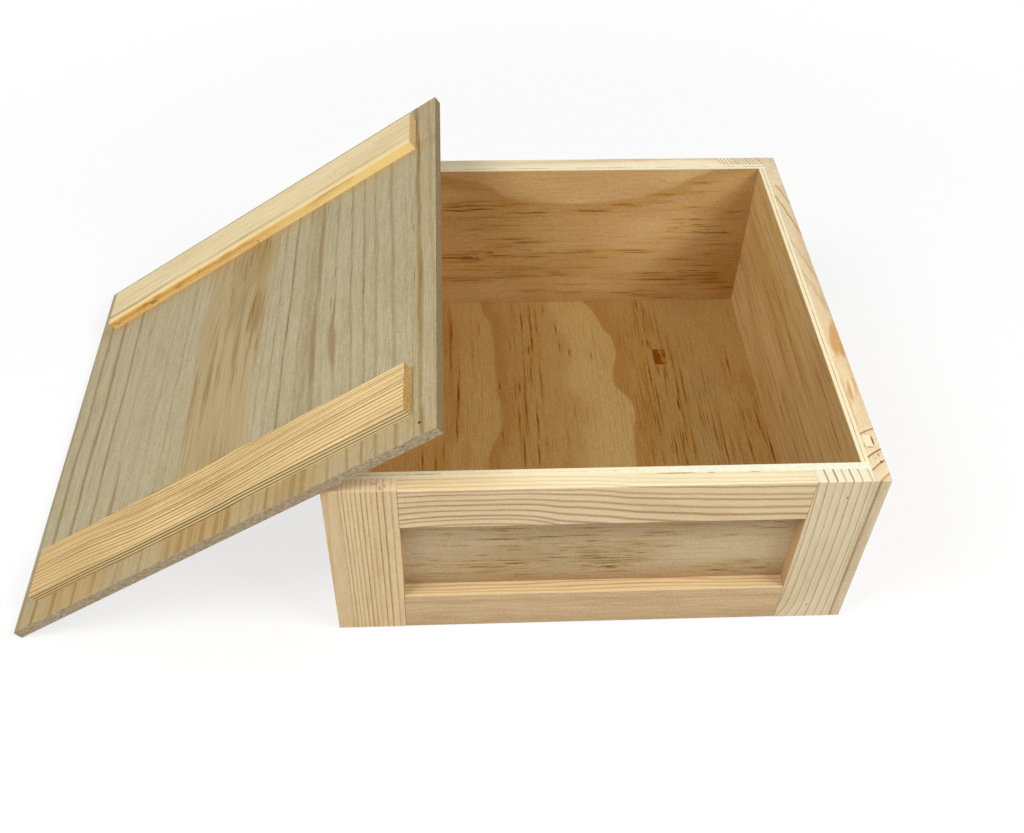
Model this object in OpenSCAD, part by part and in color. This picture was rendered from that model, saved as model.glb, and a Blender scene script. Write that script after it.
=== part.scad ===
// Wooden keepsake box: plywood walls dressed with frames of solid pine, and a loose lid.
// The lid is off and turned over: its foot stands on the table and its face leans on the left rim.
// X runs to the right, Y to the back and Z up. The origin is the middle of the box's underside.
// All sizes are in millimetres.

/* [Box] */
// Width over the two side frames
box_w = 305; // [240:1:400]
// Depth over the front and back frames
box_d = 305; // [240:1:400]
// Height of the box without its lid
box_h = 127; // [100:1:200]

/* [Frames] */
// Thickness of the frame stock
frame_t = 9; // [6:0.5:14]
// Width of the stiles in the front and back frames
stile_w = 31.5; // [20:0.5:50]
// Width of the side frames' stiles at the front corners
side_front_stile_w = 40; // [20:0.5:60]
// Width of the side frames' stiles at the back corners
side_back_stile_w = 34; // [20:0.5:60]
// Height of the top rails
top_rail_h = 31.8; // [20:0.2:45]
// Height of the bottom rails
bottom_rail_h = 31.2; // [20:0.2:45]
// Rounding of the frame stock's exposed long edges
frame_edge_r = 0.8; // [0.2:0.1:2]

/* [Plywood] */
// Thickness of the wall linings
lining_t = 4.6; // [3:0.2:9]
// Thickness of the floor
floor_t = 4.6; // [3:0.2:9]

/* [Lid] */
// Thickness of the lid board
lid_t = 6.4; // [4:0.2:12]
// Reach of the lid past the box on every side
lid_overhang = 1.2; // [0:0.1:10]
// Rounding of the lid's edges along the grain
lid_edge_r = 0.8; // [0.2:0.1:1.8]
// Width of the battens
batten_w = 34; // [20:0.5:60]
// Thickness of the battens
batten_t = 7.2; // [4:0.2:14]
// Rounding of the battens' two free long edges
batten_edge_r = 0.6; // [0.2:0.1:1.8]
// Gap between the battens and the box's walls when the lid is on
batten_clearance = 0.9; // [0.3:0.1:3]

/* [Leaning lid] */
// Length of the lid that stands past the rim it leans on
lid_past_rim = 81; // [10:0.1:100]
// Gap between the leaning lid and the rim
lid_seat_gap = 0.3; // [0.1:0.1:1]

/* [Hidden] */
$fn = 48;

// Quarter turns that bring a wall from the front of the box to its own side
front_turn = 0;
right_turn = 90;
back_turn = 180;
left_turn = -90;

// Space inside the frames, and inside the linings
inside_frames_w = box_w - 2 * frame_t;
inside_frames_d = box_d - 2 * frame_t;
inner_w = inside_frames_w - 2 * lining_t;
inner_d = inside_frames_d - 2 * lining_t;

// The lid covers the box and its overhang, and the battens fill the opening but for a clearance
lid_w = box_w + 2 * lid_overhang;
lid_d = box_d + 2 * lid_overhang;
batten_l = inner_w - 2 * batten_clearance;
batten_span = inner_d - 2 * batten_clearance;

// The lean follows from the rim's height and the length of lid between the table and the rim
lid_lean = asin(box_h / (lid_w - lid_past_rim));
// Height of the lid's square corner when its rounded edge touches the table
lid_foot_z = lid_edge_r * (1 - sin(lid_lean) - cos(lid_lean));
// Run from that corner to the rim, with the lid's face lying on the rim but for the gap
lid_foot_run = ((box_h - lid_foot_z) * cos(lid_lean) + lid_seat_gap) / sin(lid_lean);
lid_foot_x = -box_w / 2 - lid_foot_run;

pine = "burlywood";
pine_pale = "wheat";
plywood = "peru";
lid_grey = "tan";

// Sharp corner less a quarter circle, which rounds an edge of radius r when taken away
module edge_cut(r) {
    difference() {
        translate([-r, -r]) square(2 * r);
        translate([r, r]) circle(r);
        translate([r, -2 * r]) square(4 * r);
        translate([-2 * r, r]) square(4 * r);
    }
}

// Section of a board with its show face on y = 0, rounded at the start and end of that face
module board_section(w, t, r, round_start, round_end) {
    difference() {
        square([w, t]);
        if (round_start) edge_cut(r);
        if (round_end) translate([w, 0]) mirror([1, 0]) edge_cut(r);
    }
}

// Upright of a frame, at the front of the box, from one end of its width
module stile(start, w, reach, round_start, round_end) {
    translate([start, -reach, 0])
        linear_extrude(box_h)
            board_section(w, frame_t, frame_edge_r, round_start, round_end);
}

// Level piece of a frame, at the front of the box, between two uprights
module rail(start, end, z, h, reach) {
    translate([end, -reach, z])
        rotate([0, -90, 0])
            linear_extrude(end - start)
                board_section(h, frame_t, frame_edge_r, true, true);
}

// Stile of the front or back frame, on the left or on the right as seen from outside
module face_stile(turn, on_right) {
    start = on_right ? inside_frames_w / 2 - stile_w : -inside_frames_w / 2;
    rotate([0, 0, turn]) stile(start, stile_w, box_d / 2, on_right, !on_right);
}

// Rail of the front or back frame
module face_rail(turn, z, h) {
    end = inside_frames_w / 2 - stile_w;
    rotate([0, 0, turn]) rail(-end, end, z, h, box_d / 2);
}

// Stile of a side frame, on the left or on the right as seen from outside
module side_stile(turn, w, on_right) {
    start = on_right ? box_d / 2 - w : -box_d / 2;
    rotate([0, 0, turn]) stile(start, w, box_w / 2, true, true);
}

// Rail of a side frame, with the widths of the stiles it runs between as seen from outside
module side_rail(turn, left_w, right_w, z, h) {
    rotate([0, 0, turn]) rail(left_w - box_d / 2, box_d / 2 - right_w, z, h, box_w / 2);
}

// Lining behind the front or back frame, right across between the side frames
module face_lining(turn) {
    rotate([0, 0, turn])
        translate([-inside_frames_w / 2, -inside_frames_d / 2, floor_t])
            cube([inside_frames_w, lining_t, box_h - floor_t]);
}

// Lining behind a side frame, between the front and back linings
module side_lining(turn) {
    rotate([0, 0, turn])
        translate([-inner_d / 2, -inside_frames_w / 2, floor_t])
            cube([inner_d, lining_t, box_h - floor_t]);
}

// Puts a piece of the lid where it leans: x up the slope from the foot, z out of the batten side
module lean() {
    translate([lid_foot_x, 0, lid_foot_z])
        rotate([0, -lid_lean, 0])
            children();
}

// Batten across the lid's underside, from one edge of its width
module batten(start) {
    lean()
        translate([(lid_w - batten_l) / 2, start + batten_w, lid_t + batten_t])
            rotate([90, 0, 90])
                linear_extrude(batten_l)
                    rotate(180)
                        board_section(batten_w, batten_t, batten_edge_r, true, true);
}

module floor_panel() {
    color(plywood)
        translate([-inside_frames_w / 2, -inside_frames_d / 2, 0])
            cube([inside_frames_w, inside_frames_d, floor_t]);
}

module front_lining() {
    color(plywood) face_lining(front_turn);
}

module back_lining() {
    color(plywood) face_lining(back_turn);
}

module left_lining() {
    color(plywood) side_lining(left_turn);
}

module right_lining() {
    color(plywood) side_lining(right_turn);
}

module front_left_stile() {
    color(pine) face_stile(front_turn, false);
}

module front_right_stile() {
    color(pine) face_stile(front_turn, true);
}

module front_top_rail() {
    color(pine_pale) face_rail(front_turn, box_h - top_rail_h, top_rail_h);
}

module front_bottom_rail() {
    color(pine_pale) face_rail(front_turn, 0, bottom_rail_h);
}

// The back frame is seen from behind, so its right stile stands at the box's left
module back_left_stile() {
    color(pine) face_stile(back_turn, true);
}

module back_right_stile() {
    color(pine) face_stile(back_turn, false);
}

module back_top_rail() {
    color(pine_pale) face_rail(back_turn, box_h - top_rail_h, top_rail_h);
}

module back_bottom_rail() {
    color(pine_pale) face_rail(back_turn, 0, bottom_rail_h);
}

module left_front_stile() {
    color(pine) side_stile(left_turn, side_front_stile_w, true);
}

module left_back_stile() {
    color(pine) side_stile(left_turn, side_back_stile_w, false);
}

module left_top_rail() {
    color(pine_pale)
        side_rail(left_turn, side_back_stile_w, side_front_stile_w, box_h - top_rail_h, top_rail_h);
}

module left_bottom_rail() {
    color(pine_pale)
        side_rail(left_turn, side_back_stile_w, side_front_stile_w, 0, bottom_rail_h);
}

module right_front_stile() {
    color(pine) side_stile(right_turn, side_front_stile_w, false);
}

module right_back_stile() {
    color(pine) side_stile(right_turn, side_back_stile_w, true);
}

module right_top_rail() {
    color(pine_pale)
        side_rail(right_turn, side_front_stile_w, side_back_stile_w, box_h - top_rail_h, top_rail_h);
}

module right_bottom_rail() {
    color(pine_pale)
        side_rail(right_turn, side_front_stile_w, side_back_stile_w, 0, bottom_rail_h);
}

module lid_board() {
    color(lid_grey)
        lean()
            translate([0, lid_d / 2, 0])
                rotate([90, 0, 0])
                    linear_extrude(lid_d)
                        intersection() {
                            board_section(lid_w, lid_t, lid_edge_r, true, true);
                            translate([0, lid_t])
                                mirror([0, 1])
                                    board_section(lid_w, lid_t, lid_edge_r, true, true);
                        }
}

module lid_front_batten() {
    color(pine_pale) batten(-batten_span / 2);
}

module lid_back_batten() {
    color(pine_pale) batten(batten_span / 2 - batten_w);
}

floor_panel();
front_lining();
back_lining();
left_lining();
right_lining();
front_left_stile();
front_right_stile();
front_top_rail();
front_bottom_rail();
back_left_stile();
back_right_stile();
back_top_rail();
back_bottom_rail();
left_front_stile();
left_back_stile();
left_top_rail();
left_bottom_rail();
right_front_stile();
right_back_stile();
right_top_rail();
right_bottom_rail();
lid_board();
lid_front_batten();
lid_back_batten();
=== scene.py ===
"""Looks of a wooden keepsake box: plywood walls, frames of solid pine and a loose lid with two battens."""
import math

import bpy
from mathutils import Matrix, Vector


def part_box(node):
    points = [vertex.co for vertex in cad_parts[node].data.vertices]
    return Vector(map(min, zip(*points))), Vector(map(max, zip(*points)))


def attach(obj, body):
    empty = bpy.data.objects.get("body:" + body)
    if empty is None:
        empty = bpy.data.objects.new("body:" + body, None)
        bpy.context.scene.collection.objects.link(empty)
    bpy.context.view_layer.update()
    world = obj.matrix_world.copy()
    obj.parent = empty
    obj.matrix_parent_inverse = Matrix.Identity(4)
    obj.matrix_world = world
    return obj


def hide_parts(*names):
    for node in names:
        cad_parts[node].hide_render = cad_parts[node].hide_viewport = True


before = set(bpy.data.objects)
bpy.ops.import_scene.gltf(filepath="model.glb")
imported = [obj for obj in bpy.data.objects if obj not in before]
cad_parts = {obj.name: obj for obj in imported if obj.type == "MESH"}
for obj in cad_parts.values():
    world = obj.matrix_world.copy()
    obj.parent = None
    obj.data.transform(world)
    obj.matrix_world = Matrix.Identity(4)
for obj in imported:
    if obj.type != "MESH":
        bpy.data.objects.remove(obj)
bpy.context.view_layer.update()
bpy.ops.object.select_all(action="DESELECT")

# Sizes of the box and lid, in metres, as in the part's source
MM = 0.001
BOX_H = 127 * MM
HALF_W = 152.5 * MM
FRAME_EDGE = 0.8 * MM
LID_W = 307.4 * MM
LID_T = 6.4 * MM
LID_EDGE = 0.8 * MM
LID_PAST_RIM = 81 * MM
LID_SEAT_GAP = 0.3 * MM
BATTEN_L = 276 * MM
BATTEN_SPAN = 276 * MM
BATTEN_W = 34 * MM
BATTEN_T = 7.2 * MM
BATTEN_EDGE = 0.6 * MM
CRISP_EDGE = 0.22 * MM

# The lid leans on the left rim with its foot on the table
LEAN = math.asin(BOX_H / (LID_W - LID_PAST_RIM))
FOOT_Z = LID_EDGE * (1 - math.sin(LEAN) - math.cos(LEAN))
FOOT_X = -HALF_W - ((BOX_H - FOOT_Z) * math.cos(LEAN) + LID_SEAT_GAP) / math.sin(LEAN)


def seen(red, green, blue):
    """A colour as the eye sees it, 0 to 255, turned into the values that a material takes."""
    parts = []
    for part in (red, green, blue):
        share = part / 255
        parts.append(share / 12.92 if share <= 0.04045 else ((share + 0.055) / 1.055) ** 2.4)
    return (*parts, 1.0)


# Colours of the woods
PALE_PINE = seen(244, 219, 176)
CREAM_PINE = seen(246, 230, 192)
YELLOW_PINE = seen(246, 216, 158)
ROSE_PINE = seen(218, 188, 145)
BROWN_LINE = seen(166, 122, 72)
DARK_LINE = seen(140, 94, 52)
ORANGE_PINE = seen(222, 166, 104)
PALE_VENEER = seen(196, 163, 104)
BAND_VENEER = seen(168, 119, 53)
STREAK_VENEER = seen(118, 64, 2)
STREAK_STAIN = (0.98, 0.9, 0.62, 1.0)
PALE_WALL = seen(226, 191, 135)
BAND_WALL = seen(186, 141, 77)
GREY_VENEER = seen(214, 190, 151)
LID_GREY = seen(184, 171, 138)
LID_BROWN = seen(131, 110, 57)
END_CREAM = seen(242, 228, 190)


# Nodes. Each new one goes into the tree that the given sockets are in

def new_node(kind, *given):
    tree = next(value.id_data for value in given if isinstance(value, bpy.types.NodeSocket))
    return tree.nodes.new(kind)


def feed(socket, value):
    """Links a socket to another one, or sets its value."""
    if isinstance(value, bpy.types.NodeSocket):
        socket.id_data.links.new(value, socket)
    else:
        socket.default_value = value


def sums(operation, first, second=0.0, third=None):
    """One step of arithmetic."""
    node = new_node("ShaderNodeMath", first, second, third)
    node.operation = operation
    feed(node.inputs[0], first)
    feed(node.inputs[1], second)
    if third is not None:
        feed(node.inputs[2], third)
    return node.outputs[0]


def plus(first, second):
    return sums("ADD", first, second)


def less(first, second):
    return sums("SUBTRACT", first, second)


def times(first, second):
    return sums("MULTIPLY", first, second)


def highest(first, second):
    return sums("MAXIMUM", first, second)


def scaled(value, factor, added):
    """A value times a factor, with something added."""
    return sums("MULTIPLY_ADD", value, factor, added)


def swayed(value, waver, reach):
    """A value pushed to either side by soft random values."""
    return plus(value, scaled(waver, 2 * reach, -reach))


def fade(value, start, end, low=0.0, high=1.0):
    """A soft step from low at start to high at end."""
    node = new_node("ShaderNodeMapRange", value)
    node.interpolation_type = "SMOOTHSTEP"
    for socket, number in zip(node.inputs, (value, start, end, low, high)):
        feed(socket, number)
    return node.outputs[0]


def spread(value, low, high):
    """Stretches a value of 0 to 1 to run from low to high."""
    return scaled(value, high - low, low)


def stretch(place, along, across, through=None):
    """Scales a place along the grain, across it and through the board."""
    node = new_node("ShaderNodeVectorMath", place)
    node.operation = "MULTIPLY"
    feed(node.inputs[0], place)
    node.inputs[1].default_value = (along, across, across if through is None else through)
    return node.outputs[0]


def shift(place, move):
    """Moves a place by a vector or by the same amount on every axis."""
    node = new_node("ShaderNodeVectorMath", place)
    node.operation = "ADD"
    feed(node.inputs[0], place)
    feed(node.inputs[1], move)
    return node.outputs[0]


def noise(place, detail=2.0, rough=0.5):
    """Soft random values around one half."""
    node = new_node("ShaderNodeTexNoise", place)
    node.noise_dimensions = "3D"
    feed(node.inputs["Vector"], place)
    node.inputs["Scale"].default_value = 1.0
    node.inputs["Detail"].default_value = detail
    node.inputs["Roughness"].default_value = rough
    return node.outputs[0]


def noise_line(value):
    """Soft random values along one number."""
    node = new_node("ShaderNodeTexNoise", value)
    node.noise_dimensions = "1D"
    feed(node.inputs["W"], value)
    node.inputs["Scale"].default_value = 1.0
    node.inputs["Detail"].default_value = 1.0
    return node.outputs[0]


def tint(share, under, over, way="MIX"):
    """Lays one colour over another."""
    node = new_node("ShaderNodeMix", share, under, over)
    node.data_type = "RGBA"
    node.blend_type = way
    feed(node.inputs[0], share)
    feed(node.inputs[6], under)
    feed(node.inputs[7], over)
    return node.outputs[2]


def split(place):
    node = new_node("ShaderNodeSeparateXYZ", place)
    feed(node.inputs[0], place)
    return node.outputs[0], node.outputs[1], node.outputs[2]


def join(x, y, z):
    node = new_node("ShaderNodeCombineXYZ", x, y, z)
    for socket, value in zip(node.inputs, (x, y, z)):
        feed(socket, value)
    return node.outputs[0]


def drawn_line(value, points):
    """A smooth line drawn through points of (position, value)."""
    start, end = points[0][0], points[-1][0]
    low = min(rise for run, rise in points)
    high = max(rise for run, rise in points)
    share = scaled(value, 1 / (end - start), -start / (end - start))
    node = new_node("ShaderNodeFloatCurve", value)
    node.mapping.extend = "HORIZONTAL"
    line = node.mapping.curves[0]
    while len(line.points) < len(points):
        line.points.new(0.5, 0.5)
    for point, (run, rise) in zip(line.points, points):
        point.location = ((run - start) / (end - start), (rise - low) / (high - low))
    node.mapping.update()
    feed(node.inputs["Value"], share)
    return spread(node.outputs[0], low, high)


def hand_lines(value, lines):
    """Lines placed one by one: the middle of each, how far it reaches and how strong it is."""
    together = None
    for middle, reach, strength in lines:
        away = sums("ABSOLUTE", less(value, middle))
        line = fade(away, 0.0, reach, strength, 0.0)
        together = highest(together, line) if together else line
    return together


def gathered(along, across, spots):
    """Soft oval spots: the middle of each along and across, its reach both ways, and its strength."""
    together = None
    for middle, height, long, tall, strength in spots:
        run = scaled(along, 1 / long, -middle / long)
        rise = scaled(across, 1 / tall, -height / tall)
        away = scaled(run, run, times(rise, rise))
        spot = fade(away, 0.2, 1.0, strength, 0.0)
        together = highest(together, spot) if together else spot
    return together


STREAK_TAPER = 1.7
STAIN_REACH = -2.0


def drawn_streaks(along, across, streaks, half_width=0.8, darkest=0.9):
    """Thin ragged streaks placed one by one, and the stain round them.

    Each has its middle along and across, half its length and its strength.
    """
    laid = join(along, across, 0.0)
    waver = noise(stretch(laid, 0.1, 0.4), 2.0)
    beside = swayed(across, waver, 0.8)
    bent = join(along, beside, 0.0)
    together = STAIN_REACH
    for middle, height, half, strength in streaks:
        half = half * STREAK_TAPER
        away = new_node("ShaderNodeVectorMath", bent)
        away.operation = "MULTIPLY_ADD"
        feed(away.inputs[0], bent)
        away.inputs[1].default_value = (1 / half, 1 / half_width, 0)
        away.inputs[2].default_value = (-middle / half, -height / half_width, 0)
        square = new_node("ShaderNodeVectorMath", bent)
        square.operation = "DOT_PRODUCT"
        feed(square.inputs[0], away.outputs[0])
        feed(square.inputs[1], away.outputs[0])
        mark = scaled(square.outputs["Value"], -strength, strength)
        together = highest(mark, together)
    broken = noise(stretch(laid, 0.12, 1.3), 2.0)
    ragged = fade(broken, 0.3, 0.5, 0.55, 1.0)
    stain = fade(together, STAIN_REACH, 0.4)
    return times(fade(together, 0.0, 1.0, 0.0, darkest), ragged), stain


def new_group(name, inputs, outputs):
    """An empty node group with a Place input, number inputs and outputs."""
    tree = bpy.data.node_groups.new(name, "ShaderNodeTree")
    tree.interface.new_socket("Place", in_out="INPUT", socket_type="NodeSocketVector")
    for label in inputs:
        tree.interface.new_socket(label, in_out="INPUT", socket_type="NodeSocketFloat")
    for label in outputs:
        tree.interface.new_socket(label, in_out="OUTPUT", socket_type="NodeSocketFloat")
    given = tree.nodes.new("NodeGroupInput").outputs
    result = tree.nodes.new("NodeGroupOutput").inputs
    return tree, given, result


def use_group(group, place, **values):
    """Places a node group in a material with its own values."""
    node = new_node("ShaderNodeGroup", place)
    node.node_tree = group
    feed(node.inputs["Place"], place)
    for label, value in values.items():
        feed(node.inputs[label.replace("_", " ").capitalize()], value)
    return node.outputs


# Wood figure shared by the boards. Places are in millimetres: x runs along the grain

def make_growth_rings():
    """Year rings around the heart of the tree: a slow darkening and then a sharp edge."""
    tree, given, result = new_group(
        "growth rings",
        ("Ring width", "Near", "Crowding", "Uneven", "Wander", "Late share", "Seed"),
        ("Line", "Ramp", "Tone"),
    )
    start = given["Place"]
    x, y, z = split(start)
    sway = noise(shift(stretch(start, 0.007, 0.03), given["Seed"]), 2.0, 0.45)
    shake = noise(shift(stretch(start, 0.05, 0.16), given["Seed"]), 1.0)
    sway = scaled(sway, 3.0, -1.5)
    shake = scaled(shake, 0.5, -0.25)
    sway = times(plus(sway, shake), given["Wander"])
    radius = sums("SQRT", plus(times(y, y), times(z, z)))
    grown = less(plus(radius, sway), given["Near"])
    crowd = scaled(grown, given["Crowding"], 1.0)
    count = sums("DIVIDE", times(grown, crowd), given["Ring width"])
    jump = noise_line(scaled(count, 0.61, given["Seed"]))
    jump = scaled(jump, 2.0, -1.0)
    count = scaled(jump, given["Uneven"], count)
    ramp = sums("FRACT", count)
    year = new_node("ShaderNodeTexWhiteNoise", count)
    year.noise_dimensions = "1D"
    feed(year.inputs["W"], plus(sums("FLOOR", count), given["Seed"]))
    begin = less(1.0, given["Late share"])
    peak = scaled(given["Late share"], -0.36, 1.0)
    turn = scaled(given["Late share"], -0.3, 1.0)
    rise = fade(ramp, begin, peak)
    cut = fade(ramp, turn, 1.0, 1.0, 0.0)
    line = times(rise, cut)
    feed(result["Line"], line)
    feed(result["Ramp"], times(ramp, cut))
    feed(result["Tone"], year.outputs["Value"])
    return tree


def make_fibres():
    """Fine streaks and long threads along the grain, short dark flecks, sanding fuzz and broad clouds."""
    tree, given, result = new_group("fibres", ("Seed",), ("Fibre", "Thread", "Fleck", "Fuzz", "Cloud"))
    place = shift(given["Place"], given["Seed"])
    fine = noise(stretch(place, 0.06, 1.5), 4.0, 0.68)
    thread = noise(stretch(place, 0.016, 0.75), 2.0, 0.6)
    short = noise(stretch(place, 0.11, 1.25), 1.5)
    feed(result["Fibre"], fine)
    feed(result["Thread"], fade(thread, 0.52, 0.72))
    feed(result["Fleck"], fade(short, 0.66, 0.78))
    feed(result["Fuzz"], noise(stretch(place, 0.7, 0.7), 2.0, 0.6))
    feed(result["Cloud"], noise(stretch(place, 0.012, 0.05), 2.0, 0.55))
    return tree


def make_peeled_figure():
    """Peeled veneer: broad bands with one sharp side, and clusters of short dark streaks."""
    tree, given, result = new_group(
        "peeled figure",
        ("Band width", "Start", "Fade share", "Sway", "Streaks", "Streak run", "Seed"),
        ("Band", "Streak", "Cloud"),
    )
    place = given["Place"]
    x, y, z = split(place)
    across = plus(y, z)
    moved = shift(place, given["Seed"])
    bend = noise(stretch(moved, 0.011, 0.006), 2.0, 0.45)
    bend = times(scaled(bend, 4.0, -2.0), given["Sway"])
    run = less(plus(across, bend), given["Start"])
    ramp = sums("FRACT", sums("DIVIDE", run, given["Band width"]))
    band = fade(ramp, 0.0, given["Fade share"], 1.0, 0.0)
    band = highest(band, fade(ramp, 0.98, 1.0))
    laid = join(sums("DIVIDE", x, given["Streak run"]), times(across, 1.15), 0.0)
    laid = shift(laid, given["Seed"])
    cluster = noise(stretch(moved, 0.014, 0.045), 2.0)
    chance = plus(fade(cluster, 0.4, 0.66, 0.0, 0.2), given["Streaks"])
    limit = scaled(chance, -0.23, 0.725)
    long = noise(laid, 2.0)
    long = fade(long, limit, plus(limit, 0.1))
    short = noise(stretch(laid, 3.0, 0.9), 2.0)
    short = fade(short, plus(limit, 0.03), plus(limit, 0.13))
    streak = highest(long, short)
    feed(result["Band"], band)
    feed(result["Streak"], streak)
    feed(result["Cloud"], noise(stretch(moved, 0.009, 0.03), 2.0, 0.5))
    return tree


growth_rings = make_growth_rings()
fibres = make_fibres()
peeled_figure = make_peeled_figure()


def turned(place, angle=(0, 0, 0), move=(0, 0, 0), scale=1.0):
    """Turns, moves and scales a place with a Mapping node."""
    node = new_node("ShaderNodeMapping", place)
    feed(node.inputs["Vector"], place)
    node.inputs["Location"].default_value = move
    node.inputs["Rotation"].default_value = angle
    node.inputs["Scale"].default_value = (scale, scale, scale)
    return node.outputs[0]


def box_place(tree):
    """Place on the box, in millimetres."""
    coords = tree.nodes.new("ShaderNodeTexCoord")
    return turned(coords.outputs["Object"], scale=1000.0)


def lid_place(tree):
    """Place on the lid laid flat, in millimetres: x from the foot, y to the back, z to the batten side."""
    coords = tree.nodes.new("ShaderNodeTexCoord")
    turn = (0, LEAN, 0)
    move = (
        -1000 * (FOOT_X * math.cos(LEAN) + FOOT_Z * math.sin(LEAN)),
        0,
        -1000 * (FOOT_Z * math.cos(LEAN) - FOOT_X * math.sin(LEAN)),
    )
    return turned(coords.outputs["Object"], turn, move, 1000.0)


def along_grain(place, grain, heart=(0, 0)):
    """Turns a place so that x runs along the grain and y and z are measured from the tree's heart."""
    if grain == "x":
        return turned(place, move=(0, -heart[0], -heart[1]))
    if grain == "y":
        return turned(place, (0, 0, -math.pi / 2), (0, heart[0], -heart[1]))
    return turned(place, (0, math.pi / 2, 0), (0, -heart[1], heart[0]))


def new_material(name, shine=0.12):
    material = bpy.data.materials.new(name)
    material.use_nodes = True
    tree = material.node_tree
    shader = tree.nodes["Principled BSDF"]
    shader.inputs["Specular IOR Level"].default_value = shine
    return material, tree, shader


def relief(shader, height, strength, depth):
    """Raises and sinks the surface a little by a value."""
    bump = new_node("ShaderNodeBump", height)
    bump.inputs["Strength"].default_value = strength
    bump.inputs["Distance"].default_value = depth
    feed(bump.inputs["Height"], height)
    feed(shader.inputs["Normal"], bump.outputs[0])


def grey(value):
    """A grey of the given brightness."""
    node = new_node("ShaderNodeCombineColor", value)
    for socket in node.inputs[:3]:
        feed(socket, value)
    return node.outputs[0]


LINE_RIDGES = 0.6


def pine(name, grain, heart, ring, pale, late=BROWN_LINE, *, on_lid=False, near=0.0, crowd=0.0, uneven=0.3,
         wander=0.8, faint=0.6, share=0.5, strength=0.8, warm=None, warm_share=0.18, fleck=0.2, seed=0.0,
         ramp_share=0.15, bend=None, fibre=0.5, fuzz=0.9, lines=None, dress=None):
    """Solid pine, with its rings set by where the tree's heart lay."""
    material, tree, shader = new_material(name)
    place = lid_place(tree) if on_lid else box_place(tree)
    bent = bend(place) if bend else place
    grown = along_grain(bent, grain, heart)
    rings = use_group(growth_rings, grown, ring_width=ring, near=near, crowding=crowd, uneven=uneven,
                      wander=wander, late_share=share, seed=seed)
    streaks = use_group(fibres, grown, seed=seed * 7.3 + 11.0)
    colour = tint(fade(streaks["Cloud"], 0.42, 0.72, 0.0, warm_share), pale, warm or late)
    colour = tint(times(rings["Ramp"], ramp_share), colour, late)
    if lines:
        line = times(lines(bent), strength)
    else:
        line = times(rings["Line"], spread(rings["Tone"], faint * strength, strength))
    colour = tint(line, colour, late)
    colour = tint(times(streaks["Fleck"], fleck), colour, seen(150, 102, 58))
    soft = scaled(streaks["Fuzz"], fuzz, -0.3 - fuzz / 2)
    soft = scaled(streaks["Fibre"], 1.6, soft)
    colour = tint(fibre, colour, grey(soft), "SOFT_LIGHT")
    if dress:
        colour = dress(place, colour)
    feed(shader.inputs["Base Color"], colour)
    rough = scaled(streaks["Fibre"], 0.22, 0.48)
    feed(shader.inputs["Roughness"], scaled(line, -0.08, rough))
    height = scaled(line, LINE_RIDGES, streaks["Fibre"])
    relief(shader, height, 0.35, 0.25 * MM)
    return material


VENEER_FADE = 0.6
FINE_STREAKS = 0.85


def plywood(name, grain, pale, band_colour, streak_colour, *, seed, band_width=85.0, start=0.0, sway=6.0,
            band_share=0.8, streaks=None, streak_run=60.0, threads=0.2, cloud_share=0.4, broad=None,
            drawn=None, stain=0.9, dress=()):
    """Thin plywood with a peeled face veneer."""
    material, tree, shader = new_material(name)
    place = box_place(tree)
    flat = along_grain(place, grain)
    figure = use_group(peeled_figure, flat, band_width=band_width, start=start,
                       fade_share=VENEER_FADE, sway=sway, streaks=streaks(place) if streaks else 0.0,
                       streak_run=streak_run, seed=seed)
    fuzz = use_group(fibres, flat, seed=seed * 3.1 + 5.0)
    band = broad(place) if broad else figure["Band"]
    clouds = fade(figure["Cloud"], 0.4, 0.7, 0.0, cloud_share)
    colour = tint(clouds, pale, band_colour)
    colour = tint(times(band, band_share), colour, band_colour)
    fine = times(figure["Streak"], spread(band, 0.8 * FINE_STREAKS, FINE_STREAKS))
    mark = fine
    if drawn:
        marks, stained = drawn(place)
        mark = highest(fine, marks)
        colour = tint(times(stained, stain), colour, STREAK_STAIN, "MULTIPLY")
    colour = tint(mark, colour, streak_colour)
    colour = tint(times(fuzz["Thread"], threads), colour, streak_colour)
    colour = tint(times(fuzz["Fleck"], 0.2), colour, streak_colour)
    soft = scaled(fuzz["Fuzz"], 1.1, -0.8)
    soft = scaled(fuzz["Fibre"], 1.5, soft)
    colour = tint(0.4, colour, grey(soft), "SOFT_LIGHT")
    for step in dress:
        colour = step(place, colour)
    feed(shader.inputs["Base Color"], colour)
    feed(shader.inputs["Roughness"], scaled(fuzz["Fibre"], 0.2, 0.46))
    height = scaled(fine, -0.4, fuzz["Fibre"])
    relief(shader, height, 0.3, 0.2 * MM)
    return material


# Boards

def cut_board(name, low, high):
    """A square-edged board between two corners."""
    middle = [(a + b) / 2 for a, b in zip(low, high)]
    size = [b - a for a, b in zip(low, high)]
    bpy.ops.object.select_all(action="DESELECT")
    bpy.ops.mesh.primitive_cube_add(size=1, location=middle, scale=size)
    board = bpy.context.active_object
    board.name = name
    board.data.name = name
    bpy.ops.object.transform_apply(location=True, rotation=True, scale=True)
    return board


SIDES = {
    "left": (0, -1), "right": (0, 1),
    "front": (1, -1), "back": (1, 1),
    "under": (2, -1), "top": (2, 1),
}


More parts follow.
